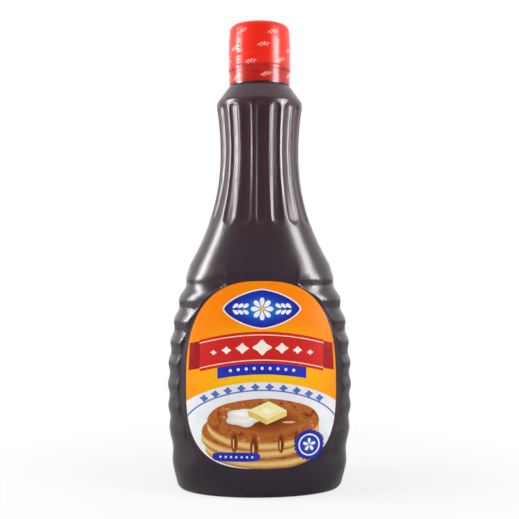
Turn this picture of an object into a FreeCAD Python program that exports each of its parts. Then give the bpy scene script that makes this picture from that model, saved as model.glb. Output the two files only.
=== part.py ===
import FreeCAD, Part
import math
import os
from types import SimpleNamespace
import Sketcher

# A sealed bottle of pancake syrup: a blow-moulded clear bottle with a fluted neck and ribbed sides, its syrup,
# a screw cap, a shrink sleeve over the cap, and a label on each flat side. Millimetres.
# The origin is the middle of the foot on the floor, +Z is up and the front label faces -Y.

os.makedirs("parts", exist_ok=True)
doc = FreeCAD.newDocument("SyrupBottle")

# ---------------------------------------------------------------- sizes
DRIVING = {
    # the whole
    "overall_height": 246.7,
    "body_width": 97.2,
    "body_depth": 63.8,
    "wall": 0.8,
    # body outline, heights from the floor and insets from the widest place
    "widest_height": 52.0,
    "rib_top": 112.7,
    "shoulder_turn": 7.3,
    "foot_inset": 5.0,
    "rib_top_inset": 10.4,
    "shoulder_inset": 12.0,
    "foot_round": 2.6,
    "foot_round_inset": 1.0,
    "heel_height": 7.0,
    "heel_inset": 4.9,
    # ribs round the sides, and the longer wave at the base
    "rib_pitch": 11.55,
    "rib_count": 8,
    "rib_depth": 0.42,
    "rib_top_gain": 0.45,
    "base_wave_pitch": 18.4,
    "base_wave_gain": 0.25,
    # label panel, sunk a little between the ribbed sides
    "panel_drop": 8.7,
    "panel_side_land": 7.0,
    "panel_sink": 1.0,
    "panel_step": 1.3,
    "panel_foot": 9.7,
    "panel_turn": 12.4,
    "front_land": 17.6,
    "base_land": 30.0,
    # neck
    "waist_radius": 20.9,
    "crown_radius": 23.1,
    "crown_softness": 1.2,
    "crown_rise": 26.6,
    "cone_height": 9.4,
    "neck_radius": 16.1,
    "cone_lip": 0.15,
    # flutes round the neck
    "flute_count": 18,
    "flute_depth": 0.9,
    "flute_width_deg": 12.5,
    "flute_tail": 7.0,
    "flute_head": 2.4,
    "flute_crown_gap": 2.2,
    "shoulder_land": 19.5,
    # push-up under the foot
    "foot_land": 7.0,
    "push_up": 3.0,
    "push_up_slope": 12.0,
    "base_wall": 1.2,
    # closure
    "finish_wall": 1.8,
    "ring_step": 0.4,
    "ring_thickness": 1.5,
    "ring_rise": 7.9,
    "cap_foot_gap": 0.6,
    "cap_radius": 16.4,
    "cap_draw_in": 0.65,
    "cap_wall": 1.5,
    "cap_height": 22.4,
    "cap_taper": 9.0,
    "cap_corner": 2.6,
    "cap_clearance": 0.3,
    # shrink sleeve
    "film": 0.15,
    "sleeve_lap": 1.35,
    "sleeve_foot_gap": 0.8,
    # syrup and labels
    "fill_rise": 2.5,
    "label_side_gap": 3.0,
    "label_top_gap": 0.6,
    "label_foot": 15.9,
    "label_widest": 56.7,
    "label_top_drop": 2.3,
    "label_thickness": 0.12,
    "label_glue": 0.04,
}

DERIVED = {
    "half_width": "body_width / 2",
    "half_depth": "body_depth / 2",
    "shoulder_foot": "rib_top + shoulder_turn",
    "panel_top": "rib_top - panel_drop",
    "cap_top": "overall_height - film",
    "cap_foot": "cap_top - cap_height",
    "cap_bore": "cap_radius - cap_wall",
    "cap_top_radius": "cap_radius - cap_draw_in",
    "sleeve_opening": "cap_top_radius - cap_corner - sleeve_lap",
    "ring_radius": "neck_radius + ring_step",
    "mouth": "cap_top - cap_wall",
    "finish_radius": "cap_bore - cap_clearance",
    "finish_bore": "finish_radius - finish_wall",
    "ring_top": "cap_foot - cap_foot_gap",
    "ring_foot": "ring_top - ring_thickness",
    "cone_top": "ring_foot - ring_rise",
    "crown": "cone_top - cone_height",
    "waist": "crown - crown_rise",
    "fill_height": "cone_top + fill_rise",
    "sleeve_foot": "cone_top + sleeve_foot_gap",
    "flute_foot": "shoulder_foot + shoulder_land",
    "flute_top": "crown - flute_crown_gap",
    "rib_low": "rib_top - (rib_count - 1) * rib_pitch",
    "panel_half": "half_width - panel_side_land",
    "label_half": "panel_half - label_side_gap",
    "label_top": "rib_top - label_top_drop",
}

sheet = doc.addObject("Spreadsheet::Sheet", "Sizes")
CELLS = {**DRIVING, **{alias: "=" + formula for alias, formula in DERIVED.items()}}
for row, (alias, content) in enumerate(CELLS.items(), start=1):
    sheet.set("A%d" % row, alias)
    sheet.set("B%d" % row, str(content))
    sheet.setAlias("B%d" % row, alias)
doc.recompute()

mm = SimpleNamespace(**{alias: float(sheet.get(alias)) for alias in CELLS})

# Powers of the outline's curves: how late each one bends.
BOW_POWER = 2.3
SHOULDER_POWER = 2.1
FOOT_POWER = 2.2
# Exponents of the body's oval sections, from a round neck (2) to squarer flanks.
ROUND = 2.0
PANEL_OVAL = 2.4
SHOULDER_OVAL = 2.85
FOOT_OVAL = 2.1
# Exponents of the label's outline above and below its widest place, and of the panel's lower edge.
LABEL_TOP_OVAL = 2.64
LABEL_FOOT_OVAL = 3.0
PANEL_FOOT_OVAL = 2.6


# ---------------------------------------------------------------- outlines and sections
def ease(share):
    """0 to 1 as share goes from 0 to 1, level at both ends."""
    share = min(max(share, 0.0), 1.0)
    return share * share * (3 - 2 * share)


def between(z, low, high):
    """Eased share of the way from low to high."""
    return ease((z - low) / (high - low))


def oval(azimuth, across, deep, power):
    """Distance from the axis to the superellipse (x/across)^power + (y/deep)^power = 1."""
    x = abs(math.sin(azimuth)) / across
    y = abs(math.cos(azimuth)) / deep
    return (x ** power + y ** power) ** (-1 / power)


def oval_half(offset, reach, half, power):
    """Half-chord of a superellipse of the given half and reach, at an offset from its centre."""
    return half * max(0.0, 1 - (offset / reach) ** power) ** (1 / power)


def neck_half(z):
    """Radius of the round neck: a flare up to the crown, met by the cone with a soft edge."""
    rise = (z - mm.waist) / (mm.crown - mm.waist)
    flare = mm.waist_radius + (mm.crown_radius - mm.waist_radius) * rise ** 2
    cone_foot = mm.neck_radius + mm.cone_lip
    cone = mm.crown_radius + (cone_foot - mm.crown_radius) * (z - mm.crown) / mm.cone_height
    overlap = max(mm.crown_softness - abs(flare - cone), 0.0) / mm.crown_softness
    return min(flare, cone) - overlap ** 2 * mm.crown_softness / 4


def half_width(z):
    """Half the width between the mould seams, without the ribs."""
    if z < mm.widest_height:
        share = 1 - z / mm.widest_height
        corner = max(0.0, 1 - z / mm.foot_round) ** FOOT_POWER
        return mm.half_width - mm.foot_inset * share ** 2 - mm.foot_round_inset * corner
    bow = mm.rib_top - mm.widest_height
    shoulder = mm.waist - mm.shoulder_foot
    shoulder_rise = mm.half_width - mm.shoulder_inset - mm.waist_radius
    if z < mm.rib_top:
        return mm.half_width - mm.rib_top_inset * ((z - mm.widest_height) / bow) ** BOW_POWER
    if z < mm.shoulder_foot:
        # cubic that leaves the bow and meets the shoulder at their own slopes
        length = mm.shoulder_foot - mm.rib_top
        t = (z - mm.rib_top) / length
        low = mm.half_width - mm.rib_top_inset
        high = mm.half_width - mm.shoulder_inset
        low_slope = -BOW_POWER * mm.rib_top_inset / bow * length
        high_slope = -SHOULDER_POWER * shoulder_rise / shoulder * length
        blend = ease(t)
        return (
            low + (high - low) * blend
            + low_slope * t * (1 - t) ** 2
            - high_slope * t * t * (1 - t)
        )
    if z < mm.waist:
        return mm.waist_radius + shoulder_rise * ((mm.waist - z) / shoulder) ** SHOULDER_POWER
    return neck_half(z)


def half_depth(z):
    """Half the depth at the middle of the front: upright along the panel, then an S-curve to the waist."""
    if z < mm.panel_top:
        heel = max(0.0, 1 - z / mm.heel_height) ** FOOT_POWER
        return mm.half_depth - mm.heel_inset * heel
    if z >= mm.waist:
        return neck_half(z)
    length = mm.waist - mm.panel_top
    slope = 2 * (mm.half_depth - mm.waist_radius) / length
    if z < mm.panel_top + mm.panel_turn:
        return mm.half_depth - slope * (z - mm.panel_top) ** 2 / (2 * mm.panel_turn)
    return mm.waist_radius + slope * (mm.waist - z) ** 2 / (2 * (length - mm.panel_turn))


def section_power(z):
    """Exponent of the oval section at a height."""
    if z < mm.label_foot:
        return FOOT_OVAL + (PANEL_OVAL - FOOT_OVAL) * between(z, 0, mm.label_foot)
    if z < mm.panel_top:
        return PANEL_OVAL + (SHOULDER_OVAL - PANEL_OVAL) * between(z, mm.widest_height, mm.panel_top)
    return SHOULDER_OVAL + (ROUND - SHOULDER_OVAL) * between(z, mm.panel_top, mm.waist)


def rib_relief(z):
    """How far the ribs stand out of the side outline: a wave, deeper at the top, longer at the base."""
    if z > mm.rib_top:
        fade = 1 - between(z, mm.rib_top, mm.shoulder_foot)
        return (mm.rib_depth + mm.rib_top_gain) * fade
    if z > mm.rib_low:
        gain = mm.rib_top_gain * ((z - mm.rib_low) / (mm.rib_top - mm.rib_low)) ** 2
        return (mm.rib_depth + gain) * math.cos(math.tau * (z - mm.rib_top) / mm.rib_pitch)
    base_crest = mm.rib_low - mm.base_wave_pitch
    depth = mm.rib_depth + mm.base_wave_gain * (mm.rib_low - z) / mm.base_wave_pitch
    if z > base_crest:
        return depth * math.cos(math.tau * (z - mm.rib_low) / mm.base_wave_pitch)
    return (mm.rib_depth + mm.base_wave_gain) * between(z, 0, base_crest)


def label_half(z):
    """Half the label's width at a height, nothing above its top or below its foot."""
    if z > mm.label_widest:
        reach = mm.label_top - mm.label_widest
        return oval_half(min(z - mm.label_widest, reach), reach, mm.label_half, LABEL_TOP_OVAL)
    reach = mm.label_widest - mm.label_foot
    return oval_half(min(mm.label_widest - z, reach), reach, mm.label_half, LABEL_FOOT_OVAL)


def panel_edge(z):
    """Half-width of the label panel: it follows the label's arch closely and leaves it lower down."""
    if z > mm.label_widest:
        gap = mm.label_side_gap + (mm.label_top_gap - mm.label_side_gap) * between(z, mm.label_widest, mm.label_top)
        return max(mm.front_land, label_half(z) + gap)
    reach = mm.label_widest - mm.panel_foot
    return max(mm.base_land, oval_half(min(mm.label_widest - z, reach), reach, mm.panel_half, PANEL_FOOT_OVAL))


def panel_front(x, z):
    """Distance of the label panel's face in front of the mid-plane: upright lines up to the panel's top."""
    return oval_half(abs(x), mm.half_width - mm.panel_sink, half_depth(z), PANEL_OVAL)


def step_azimuths(z):
    """Directions in which the step beside the panel begins and ends; it widens and dies out at the foot."""
    edge = panel_edge(z)
    begin = math.atan2(edge, panel_front(edge, z))
    spread = 1 + 6 * (1 - between(z, mm.heel_height, mm.rib_low))
    reach = math.hypot(edge, panel_front(edge, z))
    return begin, begin + min(spread * mm.panel_step / reach, (math.pi / 2 - begin) / 2)


def flute_groove(azimuth, z):
    """Depth of the nearest flute: a round-bottomed channel with a round head and a longer tail."""
    pitch = math.tau / mm.flute_count
    off = (azimuth + pitch / 2) % pitch - pitch / 2
    half = math.radians(mm.flute_width_deg) / 2
    above = max(0.0, z - (mm.flute_top - mm.flute_head)) / mm.flute_head
    below = max(0.0, mm.flute_foot + mm.flute_tail - z) / mm.flute_tail
    reach = (off / half) ** 2 + above ** 2 + below ** 2
    return mm.flute_depth * max(0.0, 1 - reach)


def skin_radius(azimuth, z, inset):
    """Distance of the bottle's skin from the axis; the inner skin is inset by the wall."""
    across = half_width(z) - inset
    deep = half_depth(z) - inset
    power = section_power(z)
    if z > mm.shoulder_foot:
        return oval(azimuth, across, deep, power) - flute_groove(azimuth, z)
    begin, end = step_azimuths(z)
    beside = ease((abs(azimuth) - begin) / (end - begin))
    rib = rib_relief(z) * beside
    side = oval(azimuth, across + rib, deep + rib, power)
    panel = oval(azimuth, mm.half_width - mm.panel_sink - inset, deep, PANEL_OVAL)
    fade = between(z, mm.heel_height, mm.rib_low) * (1 - between(z, mm.panel_top, mm.shoulder_foot))
    return side + (panel - side) * (1 - beside) * fade


# ---------------------------------------------------------------- skins as surfaces through grids of points
FRONT_COLUMNS = 14
STEP_COLUMNS = 2
SIDE_COLUMNS = 20


def column_azimuths(z):
    """Directions of the columns from the left seam to the right one: beside the panel they follow its
    step, and round the neck they are even, so that every flute has the same columns."""
    begin, end = step_azimuths(min(z, mm.shoulder_foot))
    along = [begin * k / FRONT_COLUMNS for k in range(FRONT_COLUMNS)]
    along += [begin + (end - begin) * k / STEP_COLUMNS for k in range(STEP_COLUMNS)]
    along += [end + (math.pi / 2 - end) * k / SIDE_COLUMNS for k in range(SIDE_COLUMNS + 1)]
    last = len(along) - 1
    share = between(z, mm.shoulder_foot, mm.flute_foot)
    right = [turn + (math.pi / 2 * k / last - turn) * share for k, turn in enumerate(along)]
    return [-turn for turn in reversed(right[1:])] + right


def heights(stops):
    """Heights through (height, greatest step up to it) stops, each stretch divided evenly."""
    found = [stops[0][0]]
    for stop, step in stops[1:]:
        start = found[-1]
        count = max(1, math.ceil((stop - start) / step))
        found += [start + (stop - start) * k / count for k in range(1, count + 1)]
    return found


def skin_levels(foot):
    """Heights at which the skin's sections are taken: close where it ripples, wide where it is plain."""
    rib_step = mm.rib_pitch / 9
    return heights([
        (foot, None),
        (mm.foot_round, 0.6),
        (mm.shoulder_foot, rib_step),
        (mm.flute_foot, 3),
        (mm.flute_foot + mm.flute_tail, 1),
        (mm.flute_top - mm.flute_head, 4),
        (mm.crown + mm.crown_softness, 0.7),
        (mm.cone_top, 2),
    ])


def mean_shares(lines):
    """Share of the length reached at each point of a line, from 0 to 1, averaged over like lines."""
    gaps = [0.0] * (len(lines[0]) - 1)
    for line in lines:
        steps = [line[k].distanceToPoint(line[k + 1]) for k in range(len(gaps))]
        gaps = [gap + step / sum(steps) for gap, step in zip(gaps, steps)]
    reached = [0.0]
    for gap in gaps:
        reached.append(reached[-1] + gap / len(lines))
    return reached


def spline_rows(lines, shares):
    """Cubic spline through each line of points at the same shares, and the poles of each."""
    curves = []
    for line in lines:
        curve = Part.BSplineCurve()
        curve.interpolate(Points=line, Parameters=shares)
        curves.append(curve)
    return curves[0], [curve.getPoles() for curve in curves]


def skin_surface(rings):
    """B-spline surface through rings of points, round each ring first and then up the columns."""
    around, rows = spline_rows(rings, mean_shares(rings))
    columns = [list(column) for column in zip(*rows)]
    upward, poles = spline_rows(columns, mean_shares(list(zip(*rings))))
    surface = Part.BSplineSurface()
    surface.buildFromPolesMultsKnots(
        [list(row) for row in zip(*poles)],
        upward.getMultiplicities(), around.getMultiplicities(),
        upward.getKnots(), around.getKnots(),
        False, False, upward.Degree, around.Degree,
    )
    return surface


def mirrored(points):
    """Points on the other side of the mid-plane, where the mould seams are."""
    return [FreeCAD.Vector(p.x, -p.y, p.z) for p in points]


def closed_solid(rings):
    """Solid whose side passes through rings of front-half points, left seam to right; the back mirrors
    the front, and flat faces close the two ends. The front runs on past each seam while its surface is
    made, so that it crosses the seam square, and is then cut back to it."""
    past = 3
    long_rings = [
        mirrored(ring[past:0:-1]) + ring + mirrored(ring[-2:-2 - past:-1])
        for ring in rings
    ]
    surfaces = []
    for half in (long_rings, [mirrored(ring) for ring in long_rings]):
        surface = skin_surface(half)
        u_first, u_last, v_first, v_last = surface.bounds()
        knots = surface.getVKnots()
        surface.segment(u_first, u_last, knots[past], knots[-1 - past])
        surfaces.append(surface)
    faces = [surface.toShape() for surface in surfaces]
    for end in (0, 1):
        edges = [surface.uIso(surface.bounds()[end]).toShape() for surface in surfaces]
        faces.append(Part.Face(Part.Wire(edges)))
    shell = Part.Shell(faces)
    shell.sewShape()
    solid = Part.makeSolid(shell)
    if solid.Volume < 0:
        solid.reverse()
    return solid


def skin_solid(foot, inset, lift):
    """The bottle's skin from a height up to the top of the cone. The inner skin is lifted a little under
    the sloping shoulder, which keeps the wall's thickness there."""
    rings = []
    for z in skin_levels(foot):
        source = min(z + lift, mm.cone_top)
        ring = []
        for azimuth in column_azimuths(z):
            reach = skin_radius(azimuth, source, inset)
            ring.append(FreeCAD.Vector(reach * math.sin(azimuth), -reach * math.cos(azimuth), z))
        rings.append(ring)
    return closed_solid(rings)


def push_up_solid(grow):
    """Shallow dome under the foot, or with a wall's growth the bulge that it makes inside."""
    across = half_width(0) - mm.foot_land + grow
    deep = half_depth(0) - mm.foot_land + grow
    top = mm.push_up + grow
    below = -1.0
    rings = []
    for z in [below, 0.0] + [top * k / 6 for k in range(1, 7)]:
        inset = mm.push_up_slope * (1 - math.sqrt(max(0.0, 1 - (max(z, 0.0) / top) ** 2)))
        ring = []
        for k in range(-12, 13):
            azimuth = math.pi / 2 * k / 12
            reach = oval(azimuth, across - inset, deep - inset, FOOT_OVAL)
            ring.append(FreeCAD.Vector(reach * math.sin(azimuth), -reach * math.cos(azimuth), z))
        rings.append(ring)
    return closed_solid(rings)


# ---------------------------------------------------------------- document objects
def shaped(name, shape):
    """Part::Feature that holds a shape worked out above."""
    feature = doc.addObject("Part::Feature", name)
    feature.Shape = shape
    return feature


def cylinder(name, radius, foot, top):
    """Part::Cylinder on the axis between two heights, all given as sheet expressions."""
    tube = doc.addObject("Part::Cylinder", name)
    tube.setExpression("Radius", radius)
    tube.setExpression("Height", "(%s) - (%s)" % (top, foot))
    tube.setExpression("Placement.Base.z", foot)
    return tube


def joined(name, pieces):
    """Part::MultiFuse of overlapping or touching pieces."""
    fuse = doc.addObject("Part::MultiFuse", name)
    fuse.Shapes = pieces
    return fuse


def less(name, base, tool):
    """Part::Cut of one object from another."""
    cut = doc.addObject("Part::Cut", name)
    cut.Base = base
    cut.Tool = tool
    return cut


def revolved(name, outline):
    """PartDesign::Body: a closed outline of (radius, height) expressions, turned about the Z axis."""
    body = doc.addObject("PartDesign::Body", name)
    sketch = body.newObject("Sketcher::SketchObject", name + "_outline")
    plane = next(f for f in body.Origin.OriginFeatures if f.Role == "XZ_Plane")
    sketch.AttachmentSupport = [(plane, "")]
    sketch.MapMode = "FlatFace"
    corners = [
        FreeCAD.Vector(float(body.evalExpression(radius)), float(body.evalExpression(height)), 0)
        for radius, height in outline
    ]
    for k, corner in enumerate(corners):
        sketch.addGeometry(Part.LineSegment(corner, corners[(k + 1) % len(corners)]), False)
    for k, (radius, height) in enumerate(outline):
        sketch.addConstraint(Sketcher.Constraint("Coincident", k, 2, (k + 1) % len(corners), 1))
        upright = sketch.addConstraint(Sketcher.Constraint("DistanceY", -1, 1, k, 1, corners[k].y))
        sketch.setExpression("Constraints[%d]" % upright, height)
        if radius == "0":
            sketch.addConstraint(Sketcher.Constraint("PointOnObject", k, 1, -2))
        else:
            outward = sketch.addConstraint(Sketcher.Constraint("DistanceX", -1, 1, k, 1, corners[k].x))
            sketch.setExpression("Constraints[%d]" % outward, radius)
    turn = body.newObject("PartDesign::Revolution", name + "_turned")
    turn.Profile = sketch
    turn.ReferenceAxis = (sketch, ["V_Axis"])
    turn.Angle = 360
    doc.recompute()
    return body


def rounded(body, corners):
    """PartDesign::Fillets on the circular edges at given (radius, height), each of its own radius."""
    for where, (radius, height, fillet) in enumerate(corners):
        base = body.Tip
        at_radius = float(body.evalExpression(radius))
        at_height = float(body.evalExpression(height))
        names = [
            "Edge%d" % (k + 1)
            for k, edge in enumerate(base.Shape.Edges)
            if isinstance(edge.Curve, Part.Circle)
            and abs(edge.Curve.Radius - at_radius) < 1e-4
            and abs(edge.Curve.Center.z - at_height) < 1e-4
        ]
        feature = body.newObject("PartDesign::Fillet", "%s_round_%d" % (body.Name, where))
        feature.Base = (base, names)
        feature.setExpression("Radius", fillet)
        doc.recompute()
    return body


def cell(formula):
    """Expression on the sheet's cells: each name in the formula becomes Sizes.name."""
    words = formula.split()
    return " ".join("Sizes." + word if word in CELLS else word for word in words)


def outline_of(points):
    """Outline of (radius, height) formulas as expressions on the sheet."""
    return [(cell(radius), cell(height)) for radius, height in points]


def make_bottle():
    """Blow-moulded shell with its moulded neck: outside less the cavity and the push-up."""
    outside = joined("bottle_outside", [
        shaped("outer_skin", skin_solid(0.0, 0.0, 0.0)),
        cylinder("neck_tube", cell("neck_radius"), cell("cone_top"), cell("ring_top")),
        cylinder("transfer_ring", cell("ring_radius"), cell("ring_foot"), cell("ring_top")),
        cylinder("neck_finish", cell("finish_radius"), cell("ring_top"), cell("mouth")),
    ])
    inner = less(
        "inner_body",
        shaped("inner_skin", skin_solid(mm.base_wall, mm.wall, mm.wall / 2)),
        shaped("base_bulge", push_up_solid(mm.base_wall)),
    )
    hollow_neck = cylinder("hollow_neck", cell("neck_radius - wall"), cell("cone_top"), cell("ring_foot"))
    bore = cylinder("bore", cell("finish_bore"), cell("ring_foot"), cell("mouth"))
    cavity = joined("cavity", [inner, hollow_neck, bore])
    shell = less("bottle_shell", outside, cavity)
    bottle = less("bottle", shell, shaped("push_up", push_up_solid(0.0)))
    return bottle, inner


def make_syrup(inner):
    """Syrup, from the bottle's floor to the fill level in the hollow neck."""
    head = cylinder("syrup_head", cell("neck_radius - wall"), cell("cone_top"), cell("fill_height"))
    return joined("syrup", [inner, head])


def make_cap():
    """Screw cap: a plain skirt and a flat top that seats on the bottle's mouth."""
    cap = revolved("cap", outline_of([
        ("0", "cap_top"),
        ("cap_top_radius", "cap_top"),
        ("cap_radius", "cap_top - cap_taper"),
        ("cap_radius", "cap_foot"),
        ("cap_bore", "cap_foot"),
        ("cap_bore", "mouth"),
        ("0", "mouth"),
    ]))
    return rounded(cap, [(cell("cap_top_radius"), cell("cap_top"), cell("cap_corner"))])


def make_sleeve():
    """Shrink sleeve: thin film down the cap's side, over the transfer ring, to the foot of the neck."""
    sleeve = revolved("sleeve", outline_of([
        ("neck_radius", "sleeve_foot"),
        ("neck_radius", "ring_foot - film"),
        ("ring_radius", "ring_foot"),
        ("ring_radius", "ring_top"),
        ("cap_radius", "cap_foot"),
        ("cap_radius", "cap_top - cap_taper"),
        ("cap_top_radius", "cap_top"),
        ("sleeve_opening", "cap_top"),
        ("sleeve_opening", "cap_top + film"),
        ("cap_top_radius + film", "cap_top + film"),
        ("cap_radius + film", "cap_top - cap_taper"),
        ("cap_radius + film", "cap_foot"),
        ("ring_radius + film", "ring_top"),
        ("ring_radius + film", "ring_foot"),
        ("neck_radius + film", "ring_foot - film"),
        ("neck_radius + film", "sleeve_foot"),
    ]))
    return rounded(sleeve, [
        (cell("cap_top_radius"), cell("cap_top"), cell("cap_corner")),
        (cell("cap_top_radius + film"), cell("cap_top + film"), cell("cap_corner + film")),
    ])


def make_label(name, facing):
    """Label on one panel: a thin sheet bent to the panel, cut to an egg-shaped outline."""
    margin = 1.0
    across = mm.label_half + margin
    rings = []
    for row in range(25):
        z = mm.label_foot - margin + (mm.label_top - mm.label_foot + 2 * margin) * row / 24
        xs = [across * k / 16 for k in range(-16, 17)]
        rings.append([FreeCAD.Vector(x, facing * (panel_front(x, z) + mm.label_glue), z) for x in xs])
    surface = Part.BSplineSurface()
    surface.interpolate(rings)
    sheet_solid = surface.toShape().extrude(FreeCAD.Vector(0, facing * mm.label_thickness, 0))
    edge = []
    for k in range(72):
        turn = math.tau * k / 72
        upper = math.sin(turn) > 0
        power = LABEL_TOP_OVAL if upper else LABEL_FOOT_OVAL
        reach = mm.label_top - mm.label_widest if upper else mm.label_widest - mm.label_foot
        scale = (abs(math.cos(turn)) ** power + abs(math.sin(turn)) ** power) ** (-1 / power)
        x = mm.label_half * scale * math.cos(turn)
        edge.append(FreeCAD.Vector(x, 0, mm.label_widest + reach * scale * math.sin(turn)))
    curve = Part.BSplineCurve()
    curve.interpolate(Points=edge, PeriodicFlag=True)
    outline = Part.Face(Part.Wire([curve.toShape()]))
    cutter = outline.extrude(FreeCAD.Vector(0, facing * mm.body_depth, 0))
    return shaped(name, sheet_solid.common(cutter).Solids[0])


bottle, inner_body = make_bottle()
nodes = [
    bottle,
    make_syrup(inner_body),
    make_cap(),
    make_sleeve(),
    make_label("front_label", -1),
    make_label("back_label", 1),
]
doc.recompute()

# ---------------------------------------------------------------- checks, then one STEP file a node
for item in doc.Objects:
    if "Invalid" in item.State or "Error" in item.State:
        raise RuntimeError("%s did not compute: %s" % (item.Name, item.State))
for node in nodes:
    node.Label = node.Name
    shape = node.Shape
    if shape.isNull() or not shape.isValid() or len(shape.Solids) != 1:
        raise RuntimeError("%s is not one valid solid" % node.Label)
for node in nodes:
    node.Shape.exportStep("parts/%s.step" % node.Label)
    box = node.Shape.BoundBox
    print(
        "%-12s %7.1f ml  x %.2f..%.2f  y %.2f..%.2f  z %.2f..%.2f"
        % (node.Label, node.Shape.Volume / 1000, box.XMin, box.XMax, box.YMin, box.YMax, box.ZMin, box.ZMax)
    )
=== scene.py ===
import math
import bpy
import numpy as np
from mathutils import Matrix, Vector


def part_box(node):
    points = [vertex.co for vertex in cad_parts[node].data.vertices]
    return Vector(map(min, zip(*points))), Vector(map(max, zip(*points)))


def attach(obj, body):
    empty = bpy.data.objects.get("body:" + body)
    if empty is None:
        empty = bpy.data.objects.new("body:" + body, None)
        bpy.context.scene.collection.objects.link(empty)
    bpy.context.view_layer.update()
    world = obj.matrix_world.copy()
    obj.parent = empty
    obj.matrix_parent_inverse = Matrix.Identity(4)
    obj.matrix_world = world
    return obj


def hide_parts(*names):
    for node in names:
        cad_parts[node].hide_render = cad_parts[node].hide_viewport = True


# A sealed bottle of dark pancake syrup with a sleeved red cap and an egg-shaped label on each flat side.
# Shapes are worked out in millimetres from the middle of the foot, and put into their meshes in metres.
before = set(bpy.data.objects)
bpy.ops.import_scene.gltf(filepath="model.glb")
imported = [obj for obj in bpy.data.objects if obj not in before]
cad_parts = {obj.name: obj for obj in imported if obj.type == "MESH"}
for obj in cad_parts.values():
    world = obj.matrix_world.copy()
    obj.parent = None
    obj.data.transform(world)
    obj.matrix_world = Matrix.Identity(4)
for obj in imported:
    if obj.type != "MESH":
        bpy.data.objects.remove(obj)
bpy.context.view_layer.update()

# ---------------------------------------------------------------- studio
# A white table that runs into a white room, with tall soft boxes on each side of the bottle.
# The room is dimmer behind the viewer, so the bottle's dark front stays dark between two bright columns.
MM = 0.001
EYE_TURN = math.radians(2.4)
EYE_DISTANCE = 485 * MM
EYE_HEIGHT = 121.3 * MM

eye = bpy.data.objects.new("viewpoint", bpy.data.cameras.new("viewpoint"))
eye.data.lens = 62.4
eye.data.sensor_width = 36.0
eye.location = (-math.sin(EYE_TURN) * EYE_DISTANCE, -math.cos(EYE_TURN) * EYE_DISTANCE, EYE_HEIGHT)
eye.rotation_euler = (math.pi / 2, 0, -EYE_TURN)
bpy.context.scene.collection.objects.link(eye)
bpy.context.scene.camera = eye
bpy.context.scene.view_settings.view_transform = "Standard"


def soft_box(name, azimuth, distance, foot, top, width, radiance, mirrored):
    """Upright area lamp that faces the bottle's axis. Its power is pi times its area times the radiance.
    A mirrored one shows in glossy surfaces only, and the others light matt surfaces only."""
    lamp = bpy.data.lights.new(name, "AREA")
    lamp.shape = "RECTANGLE"
    lamp.size, lamp.size_y = width, top - foot
    lamp.energy = math.pi * width * (top - foot) * radiance
    turn = math.radians(azimuth)
    holder = bpy.data.objects.new(name, lamp)
    holder.location = (math.sin(turn) * distance, -math.cos(turn) * distance, (foot + top) / 2)
    inward = Vector((-math.sin(turn), math.cos(turn), 0))
    holder.rotation_euler = inward.to_track_quat("-Z", "Y").to_euler()
    holder.visible_camera = holder.visible_transmission = False
    holder.visible_diffuse, holder.visible_glossy = not mirrored, mirrored
    bpy.context.scene.collection.objects.link(holder)


# gloss mirrors a narrow glare in a wide dim glow, and a large box farther off lights what is matt
for side, azimuth, strength in (("left", -84, 8.5), ("right", 60, 6.2)):
    soft_box(side + "_glare", azimuth, distance=0.22, foot=0.10, top=0.31, width=0.065,
             radiance=14.0, mirrored=True)
    soft_box(side + "_glow", azimuth, distance=0.225, foot=0.07, top=0.32, width=0.13,
             radiance=3.0, mirrored=True)
    soft_box(side + "_light", azimuth, distance=0.65, foot=0.13, top=0.62, width=0.42,
             radiance=strength, mirrored=False)


def add(tree, kind, settings=None, inputs=None):
    """Adds one node: settings are its own options, with stops for a colour ramp, and inputs are socket
    values or the sockets that feed them."""
    made = tree.nodes.new("ShaderNode" + kind)
    for option, value in (settings or {}).items():
        if option == "stops":
            while len(made.color_ramp.elements) < len(value):
                made.color_ramp.elements.new(1.0)
            for stop, (place, colour) in zip(made.color_ramp.elements, value):
                stop.position, stop.color = place, colour
        else:
            setattr(made, option, value)
    for socket, value in (inputs or {}).items():
        if isinstance(value, bpy.types.NodeSocket):
            tree.links.new(value, made.inputs[socket])
        else:
            made.inputs[socket].default_value = value
    return made


def hue(code):
    """Linear colour of an sRGB hex code: a channel is divided by 12.92 when dark, and otherwise it is
    raised by 0.055, divided by 1.055 and taken to the power 2.4."""
    srgb = np.array([int(code[k:k + 2], 16) for k in (0, 2, 4)]) / 255
    linear = np.where(srgb < 0.04045, srgb / 12.92, ((srgb + 0.055) / 1.055) ** 2.4)
    return (*linear.tolist(), 1.0)


BLACK, WHITE = hue("000000"), hue("FFFFFF")

room = bpy.data.worlds.new("white_room")
room.use_nodes = True
bpy.context.scene.world = room
tree = room.node_tree
tree.nodes.clear()
ray = add(tree, "LightPath")
towards = add(tree, "SeparateXYZ", None, {0: add(tree, "TexCoord").outputs["Generated"]})
# walls as they are mirrored: dim where the viewer stands (-Y), full white at the sides and behind
walls = add(tree, "MapRange", {"interpolation_type": "SMOOTHSTEP"}, {
    "Value": towards.outputs["Y"], "From Min": -0.95, "From Max": -0.1, "To Min": 0.36, "To Max": 1.1})
mirrored = add(tree, "Math", {"operation": "MAXIMUM"}, {
    0: ray.outputs["Is Glossy Ray"], 1: ray.outputs["Is Transmission Ray"]})
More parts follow.
